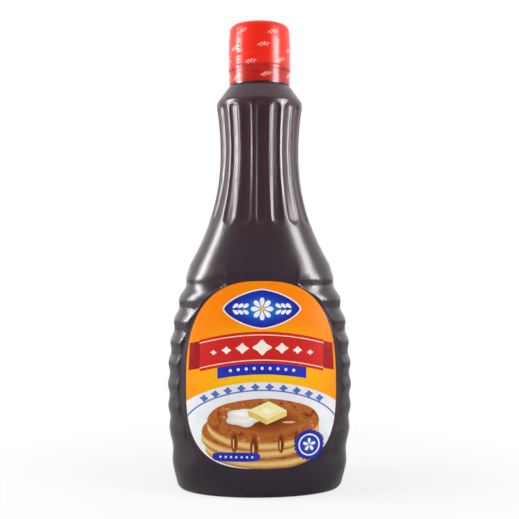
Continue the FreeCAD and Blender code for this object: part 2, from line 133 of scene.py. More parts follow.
# matt surfaces get a third of it, so that the boxes shape them
share = add(tree, "MapRange", None, {"Value": mirrored.outputs[0], "To Min": 0.35, "To Max": 1.0})
level = add(tree, "Math", {"operation": "MULTIPLY"}, {0: walls.outputs[0], 1: share.outputs[0]})
lit = add(tree, "Background", None, {"Color": WHITE, "Strength": level.outputs[0]})
seen = add(tree, "Background", None, {"Color": WHITE, "Strength": 1.0})
both = add(tree, "MixShader", None, {
    0: ray.outputs["Is Camera Ray"], 1: lit.outputs[0], 2: seen.outputs[0]})
add(tree, "OutputWorld", None, {"Surface": both.outputs[0]})

TABLE_RADIUS = 2.5
table_mesh = bpy.data.meshes.new("table")
rim = np.linspace(0, math.tau, 64, endpoint=False)
table_mesh.from_pydata(
    np.stack([TABLE_RADIUS * np.cos(rim), TABLE_RADIUS * np.sin(rim), 0 * rim], axis=1).tolist(),
    [], [list(range(len(rim)))])
table = bpy.data.objects.new("table", table_mesh)
bpy.context.scene.collection.objects.link(table)

# White melamine board: matt, with a faint grain. Away from the bottle it lets the room's own white through,
# so that no horizon is seen, while the shadow stays near the bottle. Glossy surfaces mirror it dimmer,
# most of all in front.
board = bpy.data.materials.new("white_melamine")
board.use_nodes = True
tree = board.node_tree
tree.nodes.clear()
where = add(tree, "TexCoord")
grain = add(tree, "TexNoise", None, {"Vector": where.outputs["Object"], "Scale": 60.0, "Detail": 4.0})
tone = add(tree, "ValToRGB", {"stops": [(0.3, hue("F0F0F0")), (0.7, hue("F5F5F5"))]}, {0: grain.outputs[0]})
ray = add(tree, "LightPath")
towards = add(tree, "SeparateXYZ", None, {
    0: add(tree, "VectorMath", {"operation": "NORMALIZE"}, {0: where.outputs["Object"]}).outputs["Vector"]})
front = add(tree, "MapRange", {"interpolation_type": "SMOOTHSTEP"}, {
    "Value": towards.outputs["Y"], "From Min": -0.95, "From Max": -0.1, "To Min": 0.4, "To Max": 0.2})
dim = add(tree, "Math", {"operation": "MULTIPLY"}, {0: ray.outputs["Is Glossy Ray"], 1: front.outputs[0]})
tone = add(tree, "MixRGB", None, {0: dim.outputs[0], 1: tone.outputs[0], 2: BLACK})
matt = add(tree, "BsdfDiffuse", None, {"Color": tone.outputs[0]})
clear = add(tree, "BsdfTransparent")
reach = add(tree, "VectorMath", {"operation": "LENGTH"}, {0: where.outputs["Object"]})
far = add(tree, "MapRange", {"interpolation_type": "SMOOTHSTEP"}, {
    "Value": reach.outputs["Value"], "From Min": 0.05, "From Max": 0.22, "To Min": 0.76, "To Max": 1.0})
straight = add(tree, "Math", {"operation": "MAXIMUM"}, {
    0: ray.outputs["Is Camera Ray"], 1: ray.outputs["Is Transmission Ray"]})
shown = add(tree, "Math", {"operation": "MULTIPLY"}, {0: far.outputs[0], 1: straight.outputs[0]})
both = add(tree, "MixShader", None, {0: shown.outputs[0], 1: matt.outputs[0], 2: clear.outputs[0]})
add(tree, "OutputMaterial", None, {"Surface": both.outputs[0]})
table_mesh.materials.append(board)

# ---------------------------------------------------------------- bottle
# One blow-moulded shell of clear PET: round fluted neck, oval shoulder, ribbed sides and a flat panel
# front and back. Its foot is pushed up and its moulded neck takes the cap.
HALF_WIDTH, HALF_DEPTH = 48.6, 31.9
WIDEST, RIB_TOP, SHOULDER_FOOT = 52.0, 112.7, 120.0
PANEL_TOP, PANEL_TURN, PANEL_SINK, PANEL_STEP = 104.0, 12.4, 1.0, 1.3
WAIST, CROWN, CONE_TOP = 178.15, 204.75, 214.15
WAIST_RADIUS, CROWN_RADIUS, NECK_RADIUS = 20.9, 23.1, 16.1
RIB_PITCH, RIB_LOW, RIB_DEPTH, RIB_GAIN = 11.55, 31.85, 0.42, 0.45
BASE_WAVE, BASE_GAIN, HEEL = 18.4, 0.25, 7.0
FLUTES, FLUTE_DEPTH, FLUTE_HALF = 18, 0.75, math.radians(7.6)
FLUTE_FOOT, FLUTE_TAIL, FLUTE_TOP, FLUTE_HEAD = 139.5, 4, 202.55, 2.4
FOOT_LAND, PUSH_UP, PUSH_UP_SLOPE = 7.0, 3.0, 12.0
FOOT_IN, FOOT_DEPTH_IN, FOOT_EDGE, EDGE_BOW = 5.0, 4.9, 2.6, 2.2
RIB_TOP_IN, SHOULDER_IN, SIDE_BOW, SHOULDER_BOW = 10.4, 12.0, 2.3, 2.1
FOOT_POWER, PANEL_POWER, SHOULDER_POWER, CONE_EDGE = 2.1, 2.4, 2.85, 0.15
PANEL_FOOT, PANEL_FOOT_HALF, PANEL_TOP_HALF, GAP_BESIDE, GAP_ABOVE = 9.7, 30.0, 17.6, 3.0, 0.6
BEAD, BEAD_FOOT, BEAD_TOP = 0.35, 84, 117
WALL, BASE_WALL = 0.8, 1.2
RING_FOOT, RING_TOP, RING_RADIUS = 222.05, 223.55, 16.5
FINISH_RADIUS, FINISH_BORE = 14.6, 12.8
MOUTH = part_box("bottle")[1].z / MM
label_low, label_high = (np.array(corner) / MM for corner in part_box("front_label"))
LABEL_HALF, LABEL_FOOT, LABEL_TOP, LABEL_WIDEST = label_high[0], label_low[2], label_high[2], 56.7
UPPER_POWER, LOWER_POWER = 2.64, 3.0


def ease(share):
    """0 to 1 as share goes from 0 to 1, level at both ends: 3 s^2 - 2 s^3."""
    share = np.clip(share, 0, 1)
    return share * share * (3 - 2 * share)


def between(z, low, high):
    """Eased share of the way from low to high."""
    return ease((z - low) / (high - low))


def oval(azimuth, across, deep, power):
    """Distance from the axis to the superellipse (x / across)^power + (y / deep)^power = 1."""
    x, y = np.abs(np.sin(azimuth)) / across, np.abs(np.cos(azimuth)) / deep
    return (x ** power + y ** power) ** (-1 / power)


def oval_half(offset, reach, half, power):
    """Half-chord of a superellipse: half times (1 - (offset / reach)^power)^(1 / power)."""
    return half * (1 - np.clip(np.abs(offset) / reach, 0, 1) ** power) ** (1 / power)


def neck_half(z):
    """Radius of the round neck: a flare that grows with the square of the rise, met by a straight cone,
    with their corner softened over 1.2 mm."""
    soft = 1.2
    flare = WAIST_RADIUS + (CROWN_RADIUS - WAIST_RADIUS) * ((z - WAIST) / (CROWN - WAIST)) ** 2
    cone = CROWN_RADIUS + (NECK_RADIUS + CONE_EDGE - CROWN_RADIUS) * (z - CROWN) / (CONE_TOP - CROWN)
    overlap = np.maximum(soft - np.abs(flare - cone), 0) / soft
    return np.minimum(flare, cone) - overlap ** 2 * soft / 4


def half_width(z):
    """Half the width: drawn in with the square of the way down to the foot, with power 2.3 up to the top
    rib, over a cubic to the shoulder, and with power 2.1 of the way from the waist."""
    foot = HALF_WIDTH - FOOT_IN * (1 - z / WIDEST) ** 2 - np.maximum(0, 1 - z / FOOT_EDGE) ** EDGE_BOW
    bow, shoulder = RIB_TOP - WIDEST, WAIST - SHOULDER_FOOT
    sides = HALF_WIDTH - RIB_TOP_IN * (np.maximum(0, z - WIDEST) / bow) ** SIDE_BOW
    low, high, length = HALF_WIDTH - RIB_TOP_IN, HALF_WIDTH - SHOULDER_IN, SHOULDER_FOOT - RIB_TOP
    t = (z - RIB_TOP) / length
    low_slope = -SIDE_BOW * RIB_TOP_IN / bow * length
    high_slope = -SHOULDER_BOW * (high - WAIST_RADIUS) / shoulder * length
    turn = low + (high - low) * ease(t) + low_slope * t * (1 - t) ** 2 - high_slope * t * t * (1 - t)
    slope = WAIST_RADIUS + (high - WAIST_RADIUS) * (np.maximum(0, WAIST - z) / shoulder) ** SHOULDER_BOW
    return np.select([z < WIDEST, z < RIB_TOP, z < SHOULDER_FOOT, z < WAIST],
                     [foot, sides, turn, slope], neck_half(z))


def half_depth(z):
    """Half the depth: upright along the panel above a rounded heel, then two parabolas to the waist."""
    length = WAIST - PANEL_TOP
    slope = 2 * (HALF_DEPTH - WAIST_RADIUS) / length
    heel = HALF_DEPTH - FOOT_DEPTH_IN * np.maximum(0, 1 - z / HEEL) ** EDGE_BOW
    leaving = HALF_DEPTH - slope * (z - PANEL_TOP) ** 2 / (2 * PANEL_TURN)
    reaching = WAIST_RADIUS + slope * (WAIST - z) ** 2 / (2 * (length - PANEL_TURN))
    return np.select([z < PANEL_TOP, z < PANEL_TOP + PANEL_TURN, z < WAIST],
                     [heel, leaving, reaching], neck_half(z))


def section_power(z):
    """Exponent of the oval section: 2.1 at the foot, 2.4 along the panel, 2.85 above it, 2 at the waist."""
    low = FOOT_POWER + (PANEL_POWER - FOOT_POWER) * between(z, 0, LABEL_FOOT)
    middle = PANEL_POWER + (SHOULDER_POWER - PANEL_POWER) * between(z, WIDEST, PANEL_TOP)
    high = SHOULDER_POWER + (2 - SHOULDER_POWER) * between(z, PANEL_TOP, WAIST)
    return np.select([z < LABEL_FOOT, z < PANEL_TOP], [low, middle], high)


def rib_relief(z):
    """Cosine wave of the side ribs, deeper with the square of the height, and a longer wave at the base."""
    top = (RIB_DEPTH + RIB_GAIN) * (1 - between(z, RIB_TOP, SHOULDER_FOOT))
    gain = RIB_GAIN * ((z - RIB_LOW) / (RIB_TOP - RIB_LOW)) ** 2
    ribs = (RIB_DEPTH + gain) * np.cos(math.tau * (z - RIB_TOP) / RIB_PITCH)
    below = (RIB_LOW - z) / BASE_WAVE
    base = (RIB_DEPTH + BASE_GAIN * below) * np.cos(math.tau * below)
    heel = (RIB_DEPTH + BASE_GAIN) * between(z, 0, RIB_LOW - BASE_WAVE)
    return np.select([z > RIB_TOP, z > RIB_LOW, z > RIB_LOW - BASE_WAVE], [top, ribs, base], heel)


def label_half(z):
    """Half the label's width: a superellipse of power 2.64 above its widest place and 3 below it."""
    upper = oval_half(z - LABEL_WIDEST, LABEL_TOP - LABEL_WIDEST, LABEL_HALF, UPPER_POWER)
    lower = oval_half(LABEL_WIDEST - z, LABEL_WIDEST - LABEL_FOOT, LABEL_HALF, LOWER_POWER)
    return np.where(z > LABEL_WIDEST, upper, lower)


def panel_edge(z):
    """Half the panel's width: the label's arch plus a gap that closes upwards, and its own curve below."""
    gap = GAP_BESIDE + (GAP_ABOVE - GAP_BESIDE) * between(z, LABEL_WIDEST, LABEL_TOP)
    upper = np.maximum(PANEL_TOP_HALF, label_half(z) + gap)
    rounding = oval_half(LABEL_WIDEST - z, LABEL_WIDEST - PANEL_FOOT, HALF_WIDTH - HEEL, 2.6)
    return np.where(z > LABEL_WIDEST, upper, np.maximum(PANEL_FOOT_HALF, rounding))


def panel_front(x, z):
    """How far the panel's face stands in front of the mid-plane at a place on it."""
    return oval_half(x, HALF_WIDTH - PANEL_SINK, half_depth(z), PANEL_POWER)


def step_azimuths(z):
    """Directions in which the step beside the panel begins and ends; it widens towards the foot."""
    edge = panel_edge(z)
    front = panel_front(edge, z)
    begin = np.arctan2(edge, front)
    spread = 1 + 6 * (1 - between(z, HEEL, RIB_LOW))
    return begin, begin + np.minimum(spread * PANEL_STEP / np.hypot(edge, front), (math.pi / 2 - begin) / 2)


def skin_radius(azimuth, z, inset=0.0):
    """Distance of the skin from the axis. Above the shoulder it is the oval less the flutes, whose depth
    falls away, ever faster, towards their rounded outline. Below, the ribbed side oval is eased into the
    panel's at the step, and a low round bead runs on the step beside the label's upper arc."""
    across, deep, power = half_width(z) - inset, half_depth(z) - inset, section_power(z)
    pitch = math.tau / FLUTES
    off = (azimuth + pitch / 2) % pitch - pitch / 2
    above = np.maximum(0, z - (FLUTE_TOP - FLUTE_HEAD)) / FLUTE_HEAD
    below = np.maximum(0, FLUTE_FOOT + FLUTE_TAIL - z) / FLUTE_TAIL
    reach = (off / FLUTE_HALF) ** 2 + above ** 2 + below ** 2
    groove = FLUTE_DEPTH * np.maximum(0, 1 - reach ** 1.6)
    fold = np.arctan2(np.abs(np.sin(azimuth)), np.abs(np.cos(azimuth)))
    begin, end = step_azimuths(np.minimum(z, SHOULDER_FOOT))
    beside = ease((fold - begin) / (end - begin))
    middle = (begin + end) / 2
    along = between(z, BEAD_FOOT, BEAD_FOOT + 14) * (1 - between(z, BEAD_TOP - 5, BEAD_TOP))
    bead = BEAD * along * np.exp(-6 * ((fold - middle) / (end - begin)) ** 2)
    rib = rib_relief(z) * beside
    side = oval(azimuth, across + rib, deep + rib, power)
    panel = oval(azimuth, HALF_WIDTH - PANEL_SINK - inset, deep, PANEL_POWER)
    fade = between(z, HEEL, RIB_LOW) * (1 - between(z, PANEL_TOP, SHOULDER_FOOT))
    return np.where(z > SHOULDER_FOOT, oval(azimuth, across, deep, power) - groove,
                    side + (panel - side) * (1 - beside) * fade + bead)


def columns_at(z, front, step, side):
    """Directions of a ring's columns, one row for each height: they follow the step beside the panel and
    even out up the neck. A quarter has front, step and side columns, and the others mirror it."""
    z = np.reshape(z, (-1, 1))
    begin, end = step_azimuths(np.minimum(z, SHOULDER_FOOT))
    quarter = np.concatenate([
        begin * np.arange(front) / front,
        begin + (end - begin) * np.arange(step) / step,
        end + (math.pi / 2 - end) * np.arange(side + 1) / side], axis=1)
    even = math.pi / 2 * np.arange(quarter.shape[1]) / (quarter.shape[1] - 1)
    quarter = quarter + (even - quarter) * between(z, SHOULDER_FOOT, FLUTE_FOOT)
    on, back = quarter[:, :-1], quarter[:, :0:-1]
    return np.concatenate([on, math.pi - back, math.pi + on, math.tau - back], axis=1)


def heights(*stops):
    """Heights through (height, greatest step up to it) stops, each stretch divided evenly."""
    parts = [np.array([stops[0][0]])]
    for (low, _), (high, step) in zip(stops, stops[1:]):
        count = max(1, math.ceil(abs(high - low) / step))
        parts.append(low + (high - low) * np.arange(1, count + 1) / count)
    return np.concatenate(parts)


def round_points(azimuths, radius, z):
    """Points at x = r sin a, y = -r cos a, with a row for each height."""
    radius = np.broadcast_to(radius, azimuths.shape)
    z = np.broadcast_to(z, azimuths.shape)
    return np.stack([radius * np.sin(azimuths), -radius * np.cos(azimuths), z], axis=-1)


def skin_rings(levels, inset, lift, counts):
    """Rings of points on the skin, or on the inner skin, which is lifted a little under the shoulder."""
    source = np.minimum(levels + lift, CONE_TOP)[:, None]
    azimuths = columns_at(levels, *counts)
    return round_points(azimuths, skin_radius(azimuths, source, inset), levels[:, None])


def base_rings(grow, low, counts):
    """Rings of the dome under the foot, from its top down to a height: its inset from the dome's foot is
    the slope times 1 - cos t at height top times sin t. A wall's growth makes the bulge inside."""
    top = PUSH_UP + grow
    t = np.linspace(math.pi / 2, math.asin(max(low, 0) / top), 9)[:, None]
    azimuths = np.repeat(columns_at([0.0], *counts), len(t), axis=0)
    inset = FOOT_LAND - grow + PUSH_UP_SLOPE * (1 - np.cos(t))
    radius = oval(azimuths, half_width(0.0) - inset, half_depth(0.0) - inset, FOOT_POWER)
    dome = round_points(azimuths, radius, top * np.sin(t))
    # a ring half as wide keeps the triangles at the pole short
    flat = dome[:1] * np.array([0.5, 0.5, 1.0])
    return np.concatenate([flat, dome])


def tube_rings(profile, counts):
    """Round rings through (radius, height) pairs."""
    profile = np.array(profile)
    azimuths = np.repeat(columns_at([FLUTE_TOP], *counts), len(profile), axis=0)
    return round_points(azimuths, profile[:, :1], profile[:, 1:])


def closed_surface(rings):
    """Points and faces of a closed surface through rings of points: quads join each ring to the next and
    round to itself, and triangles close each end on a pole at the middle of its ring."""
    rows, count = rings.shape[:2]
    points = np.concatenate([rings.reshape(-1, 3), rings[:1].mean(axis=1), rings[-1:].mean(axis=1)])
    here = np.arange(count)
    on = (here + 1) % count
    low = (np.arange(rows - 1) * count)[:, None]
    quads = np.stack([low + here, low + on, low + count + on, low + count + here], axis=-1).reshape(-1, 4)
    first, last, end = rows * count, rows * count + 1, (rows - 1) * count
    start_fan = np.stack([np.full(count, first), on, here], axis=-1)
    end_fan = np.stack([end + here, end + on, np.full(count, last)], axis=-1)
    return points, quads.tolist() + start_fan.tolist() + end_fan.tolist()


def make_piece(name, points, faces, material, slot, sharp=50):
    """Mesh object from points in millimetres, smooth but for edges sharper than an angle in degrees. It
    rides on the one body and takes the given material as its finish. The slot is not used."""
    mesh = bpy.data.meshes.new(name)
    mesh.from_pydata((points * MM).tolist(), [], faces)
    mesh.shade_smooth()
    mesh.set_sharp_from_angle(angle=math.radians(sharp))
    mesh.materials.append(material)
    made = bpy.data.objects.new(name, mesh)
    bpy.context.scene.collection.objects.link(made)
    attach(made, "root")
    return made


def blank(name):
    """New material with an empty node tree, and the tree."""
    made = bpy.data.materials.new(name)
    made.use_nodes = True
    made.node_tree.nodes.clear()
    return made, made.node_tree


# Clear PET, blow moulded: index 1.57, with the faint waviness of a blown wall every 7 mm or so and a
# slight haze, so that lamps show in it as soft-edged columns.
pet, tree = blank("clear_blown_pet")
where = add(tree, "TexCoord").outputs["Object"]
waves = add(tree, "TexNoise", None, {"Vector": where, "Scale": 1 / (7 * MM), "Detail": 1.0})
wavy = add(tree, "Bump", None, {"Height": waves.outputs[0], "Strength": 0.12, "Distance": 0.05 * MM})
haze = add(tree, "TexNoise", None, {"Vector": where, "Scale": 1 / (25 * MM), "Detail": 3.0})
rough = add(tree, "MapRange", None, {
    "Value": haze.outputs[0], "From Min": 0.3, "From Max": 0.7, "To Min": 0.23, "To Max": 0.27})
glassy = add(tree, "BsdfPrincipled", None, {
    "Base Color": hue("F7F4F6"), "Roughness": rough.outputs[0], "IOR": 1.57, "Transmission Weight": 1.0,
    "Normal": wavy.outputs[0]})
add(tree, "OutputMaterial", None, {"Surface": glassy.outputs[0]})

# columns of a quarter in front of the panel's step, on it and beside it
OUTSIDE = (26, 6, 52)
outer_levels = heights(
    (0.0, None), (FOOT_EDGE, 0.45), (SHOULDER_FOOT, RIB_PITCH / 10), (FLUTE_FOOT, 2.2),
    (FLUTE_FOOT + FLUTE_TAIL, 0.7), (FLUTE_TOP - FLUTE_HEAD, 3.5), (CROWN + 1.2, 0.4), (CONE_TOP, 1.4))
skin = skin_rings(outer_levels, 0.0, 0.0, OUTSIDE)
# the mould's parting line stands proud at each side, in a bell curve about a millimetre wide
SEAM, SEAM_HALF = 0.08, 0.45
skin[..., :2] *= 1 + SEAM * np.exp(-(skin[..., 1:2] / SEAM_HALF) ** 2) / np.maximum(np.abs(skin[..., :1]), 1)
dome = base_rings(0.0, 0.0, OUTSIDE)
land = (dome[-1:] + skin[:1]) / 2
finish = tube_rings([
    (NECK_RADIUS, CONE_TOP), (NECK_RADIUS, RING_FOOT), (RING_RADIUS, RING_FOOT), (RING_RADIUS, RING_TOP),
    (FINISH_RADIUS, RING_TOP), (FINISH_RADIUS, MOUTH), (FINISH_BORE, MOUTH), (FINISH_BORE, RING_FOOT),
    (NECK_RADIUS - WALL, RING_FOOT), (NECK_RADIUS - WALL, CONE_TOP)], OUTSIDE)
inner_levels = heights((CONE_TOP, None), (SHOULDER_FOOT, 4.0), (BASE_WALL, 2.4))
inside = skin_rings(inner_levels, WALL, WALL / 2, OUTSIDE)
floor = base_rings(BASE_WALL, BASE_WALL, OUTSIDE)[::-1]
shell = np.concatenate([dome, land, skin, finish, inside, floor])
bottle = make_piece("bottle_shell", *closed_surface(shell), pet, "clear_pet", sharp=60)
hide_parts("bottle")

# ---------------------------------------------------------------- syrup
# Dark brown pancake syrup, thick and nearly opaque, that fills the bottle to the foot of the sleeve.
# It reaches 0.3 mm into the wall, so that no air shows between them, and climbs a little at its rim.
INTO_WALL = 0.3
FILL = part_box("syrup")[1].z / MM
POURED = (14, 3, 19)
# Sugar syrup coloured with caramel: light goes a millimetre or two in and comes out red-brown. Against
# PET its own surface hardly reflects, so its index is given relative to the wall. Its colour runs by
# height from a red-brown in the neck to nearly black low down: painted light for the light shining
# through the narrow neck, and painted shade towards the foot.
caramel, tree = blank("caramel_syrup")
where = add(tree, "TexCoord").outputs["Object"]
cloud = add(tree, "TexNoise", None, {"Vector": where, "Scale": 1 / (30 * MM), "Detail": 2.0})
height = add(tree, "SeparateXYZ", None, {0: where})
rise = add(tree, "MapRange", None, {"Value": height.outputs["Z"], "From Max": FILL * MM})
shake = add(tree, "MapRange", None, {"Value": cloud.outputs[0], "To Min": -0.1, "To Max": 0.1})
depth = add(tree, "Math", {"operation": "ADD"}, {0: rise.outputs[0], 1: shake.outputs[0]})
# painted light and shade by height: red-brown up the neck, nearly black towards the foot
tone = add(tree, "ValToRGB", {"stops": [
    (0.08, hue("331D34")), (0.3, hue("3C2234")), (0.55, hue("482D40")), (0.85, hue("562839"))]},
    {0: depth.outputs[0]})
liquid = add(tree, "BsdfPrincipled", None, {
    "Base Color": tone.outputs[0], "Roughness": 0.3, "IOR": 1.06})
add(tree, "OutputMaterial", None, {"Surface": liquid.outputs[0]})

inset = WALL - INTO_WALL
levels = heights((BASE_WALL - INTO_WALL, None), (SHOULDER_FOOT, 1.5), (CONE_TOP, 3.0))
body = skin_rings(levels, inset, WALL / 2, POURED)
rim_radius = NECK_RADIUS - inset
surface = tube_rings([
    (rim_radius, CONE_TOP), (rim_radius, FILL), (rim_radius - 0.5, FILL - 0.3),
    (rim_radius - 1.6, FILL - 0.5), (rim_radius / 2, FILL - 0.5)], POURED)
under = base_rings(BASE_WALL - INTO_WALL, BASE_WALL - INTO_WALL, POURED)
syrup = make_piece(
    "syrup_fill", *closed_surface(np.concatenate([under, body, surface])), caramel, "syrup", sharp=60)
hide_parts("syrup")

# ---------------------------------------------------------------- cap
# Screw cap of red polypropylene, injection moulded in one piece and pressed on to the bottle's mouth.
# Only its flat top shows, inside the lap of the sleeve, so the solid stays and gets its finish.
polypropylene, tree = blank("red_moulded_polypropylene")
where = add(tree, "TexCoord").outputs["Object"]
# fine spark-eroded mould texture, drawn at 0.5 mm so that it shows
grit = add(tree, "TexNoise", None, {"Vector": where, "Scale": 1 / (0.5 * MM), "Detail": 2.0})
raised = add(tree, "Bump", None, {"Height": grit.outputs[0], "Strength": 0.3, "Distance": 0.04 * MM})
flow = add(tree, "TexNoise", None, {"Vector": where, "Scale": 1 / (9 * MM), "Detail": 2.0})
tone = add(tree, "ValToRGB", {"stops": [(0.3, hue("C81D14")), (0.7, hue("D62519"))]}, {0: flow.outputs[0]})
moulded = add(tree, "BsdfPrincipled", None, {
    "Base Color": tone.outputs[0], "Roughness": 0.38, "IOR": 1.49, "Normal": raised.outputs[0]})
add(tree, "OutputMaterial", None, {"Surface": moulded.outputs[0]})
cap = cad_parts["cap"]
cap.data.materials.clear()
cap.data.materials.append(polypropylene)

# ---------------------------------------------------------------- sleeve
# Shrink sleeve of printed red film, shrunk by heat over the cap and the neck ring. It laps the cap's
# top, is creased where the cap ends, and has ripples and a row of perforations for tearing it off.
SLEEVE_FOOT, SLEEVE_TOP = (corner.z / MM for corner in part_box("sleeve"))
CAP_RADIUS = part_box("cap")[1].x / MM
CAP_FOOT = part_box("cap")[0].z / MM
CAP_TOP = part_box("cap")[1].z / MM
FILM = SLEEVE_TOP - CAP_TOP
LAP_RADIUS = 11.8
CORNER = 2.6
DRAW_IN, TAPER = 0.65, 9.0
CREASE, FINE_RIPPLE, FINE_PITCH, BROAD_RIPPLE, BROAD_PITCH = 0.16, 0.045, 1.55, 0.18, 6


def sleeve_radius(azimuth, z):
    """Outer radius of the film up the side. It bears on the neck, the ring and the cap, with soft steps
    between them, tapers to the top, and is tucked in at its foot. Bell curves of the height place a crease
    and two bands of sine ripples, which slant a little round the cap."""
    on_neck = NECK_RADIUS + FILM * (0.4 + 0.6 * between(z, SLEEVE_FOOT - 0.2, SLEEVE_FOOT + 1.0))
    on_ring = RING_RADIUS + FILM + 0.03
    on_cap = CAP_RADIUS + FILM - DRAW_IN * np.clip((z - (CAP_TOP - TAPER)) / TAPER, 0, 1)
    radius = on_neck + (on_ring - on_neck) * between(z, RING_FOOT - 0.9, RING_FOOT + 0.2)
    crease = CREASE * np.exp(-((z - CAP_FOOT + 0.05 * np.sin(2 * azimuth)) / 0.32) ** 2)
    radius = radius + (on_cap - radius) * between(z, RING_TOP - 0.1, CAP_FOOT + 0.5) - crease
    rise = z - CAP_FOOT
    slant = z + 0.35 * np.sin(azimuth + 0.6) + 0.2 * np.sin(3 * azimuth)
    near = np.exp(-((rise - 2.3) / 2.2) ** 2)
    high = np.exp(-((rise - 6.5) / 4.0) ** 2) * (0.5 + 0.5 * np.sin(azimuth * 2 + 3.0))
    fine = FINE_RIPPLE * near * np.sin(math.tau * slant / FINE_PITCH)
    broad = BROAD_RIPPLE * high * np.sin(math.tau * (slant - CAP_FOOT - 2) / BROAD_PITCH)
    foot = between(z, SLEEVE_FOOT, SLEEVE_FOOT + 1.5) * (1 - between(z, RING_FOOT - 2.5, RING_FOOT))
    return radius + fine + broad + 0.03 * foot * np.sin(5 * azimuth + z / 1.3)


turns = np.linspace(0, math.tau, 240, endpoint=False)[None, :]
levels = heights((0.0, None), (RING_FOOT - 1.5 - SLEEVE_FOOT, 0.5), (CAP_FOOT + 7 - SLEEVE_FOOT, 0.22),
                 (CAP_TOP - CORNER - SLEEVE_FOOT, 0.6))[:, None]
# the cut foot of the film runs up and down by a tenth of a millimetre
wander = 0.1 * np.sin(2 * turns) + 0.06 * np.sin(5 * turns + 1)
side_z = SLEEVE_FOOT + levels + (wander - 0.12) * np.exp(-levels / 1.2)
side = round_points(np.repeat(turns, len(levels), axis=0), sleeve_radius(turns, side_z), side_z)
bend = np.radians(np.arange(8, 91, 8.2))[:, None]
top_radius = sleeve_radius(turns, CAP_TOP - CORNER)
over = CORNER + FILM
corner_radius = top_radius - over + over * np.cos(bend) - 0.15 * np.sin(bend)
corner_z = CAP_TOP - CORNER + over * np.sin(bend)
corner = round_points(np.repeat(turns, len(bend), axis=0), corner_radius, corner_z)
# the lap's cut edge wanders, and its last rings turn down to the cap's top
lap_edge = LAP_RADIUS + 0.12 * np.sin(3 * turns) + 0.08 * np.sin(7 * turns + 2)
lap_shares = np.array([[0.35], [0.7], [0.93], [1.0]])
lap_z = SLEEVE_TOP - 0.02 * np.sin(9 * turns) * lap_shares - np.array([[0.0], [0.0], [0.02], [0.07]])
lap_radius = corner_radius[-1:] + (lap_edge - corner_radius[-1:]) * lap_shares
lap = round_points(np.repeat(turns, len(lap_shares), axis=0), lap_radius, lap_z)
back_profile = np.array([
    (LAP_RADIUS + 0.2, CAP_TOP + 0.01), (13.2, CAP_TOP + 0.01), (CAP_RADIUS - DRAW_IN - 0.3, CAP_TOP - 1.3),
    (CAP_RADIUS - DRAW_IN + 0.03, CAP_TOP - CORNER), (CAP_RADIUS + 0.01, CAP_TOP - TAPER),
    (CAP_RADIUS + 0.01, CAP_FOOT), (RING_RADIUS + 0.01, RING_TOP), (RING_RADIUS + 0.01, RING_FOOT),
    (NECK_RADIUS + 0.01, RING_FOOT - 0.3), (NECK_RADIUS + 0.01, SLEEVE_FOOT + 0.3)])
back_turns = np.repeat(turns, len(back_profile), axis=0)
back = round_points(back_turns, back_profile[:, :1], back_profile[:, 1:])
loop = np.concatenate([side, corner, lap, back])
# the film is a ring with no poles: the last ring joins the first
rows, count = loop.shape[:2]
here, row = np.arange(count), np.arange(rows)[:, None] * count
on, up = (here + 1) % count, (row + count) % (rows * count)
film_faces = np.stack([row + here, row + on, up + on, up + here], axis=-1).reshape(-1, 4).tolist()

# Printed PETG shrink film: gloss, index 1.57. It is brighter where the white-backed cap lies behind it
# and deeper over the dark neck, with the ink a little thinned where the film has shrunk most.
film_ink, tree = blank("red_shrink_film")
where = add(tree, "TexCoord").outputs["Object"]
height = add(tree, "SeparateXYZ", None, {0: where})
backing = add(tree, "MapRange", {"interpolation_type": "SMOOTHSTEP"}, {
    "Value": height.outputs["Z"], "From Min": (CAP_FOOT - 0.9) * MM, "From Max": (CAP_FOOT + 0.9) * MM})
streak = add(tree, "TexNoise", None, {
    "Vector": add(tree, "Mapping", None, {"Vector": where, "Scale": (1.0, 1.0, 4.0)}).outputs[0],
    "Scale": 1 / (8 * MM), "Detail": 3.0})
red = add(tree, "MixRGB", None, {0: backing.outputs[0], 1: hue("B00A00"), 2: hue("EE1C04")})
thin = add(tree, "MapRange", None, {
    "Value": streak.outputs[0], "From Min": 0.35, "From Max": 0.7, "To Max": 0.35})
red = add(tree, "MixRGB", None, {0: thin.outputs[0], 1: red.outputs[0], 2: hue("F4301A")})
tiny = add(tree, "TexNoise", None, {"Vector": where, "Scale": 1 / (2.2 * MM), "Detail": 1.0})
drawn = add(tree, "Bump", None, {"Height": tiny.outputs[0], "Strength": 0.2, "Distance": 0.03 * MM})
gloss = add(tree, "BsdfPrincipled", None, {
    "Base Color": red.outputs[0], "Roughness": 0.2, "IOR": 1.5, "Normal": drawn.outputs[0]})
add(tree, "OutputMaterial", None, {"Surface": gloss.outputs[0]})
sleeve = make_piece("sleeve_film", loop.reshape(-1, 3), film_faces, film_ink, "sleeve_film", sharp=70)
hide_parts("sleeve")


def on_sleeve(x, z, lift):
    """Point on the sleeve at an arc length x round from the front and a height z, lifted off the film."""
    azimuth = x / (CAP_RADIUS + FILM)
    return round_points(azimuth, sleeve_radius(azimuth, z) + lift, z)


def film_patch(place, stand, low, high, rings=6, columns=64):
    """Points, faces and disc places of a thin closed patch. Rings shrink from the edge of a unit disc to
    its middle; place turns each (a, b) on it into (x, z), and stand puts that on a surface at a lift:
    the outer face at high, then back along the inner face at low."""
    turn = math.tau * np.arange(columns) / columns
    edge = np.stack([np.cos(turn), -np.sin(turn)], axis=-1)
    shares = (np.arange(1, rings + 1) / rings)[:, None, None]
    disc = shares * edge
    disc = np.concatenate([disc, disc[::-1]])
    lift = np.where(np.arange(2 * rings) < rings, high, low)[:, None] + 0 * disc[..., 0]
    points, faces = closed_surface(stand(*place(disc[..., 0], disc[..., 1]), lift))
    middle = stand(*place(np.zeros(2), np.zeros(2)), np.array([high, low]))
    points[-2:] = middle
    return points, faces, np.concatenate([disc.reshape(-1, 2), np.zeros((2, 2))])


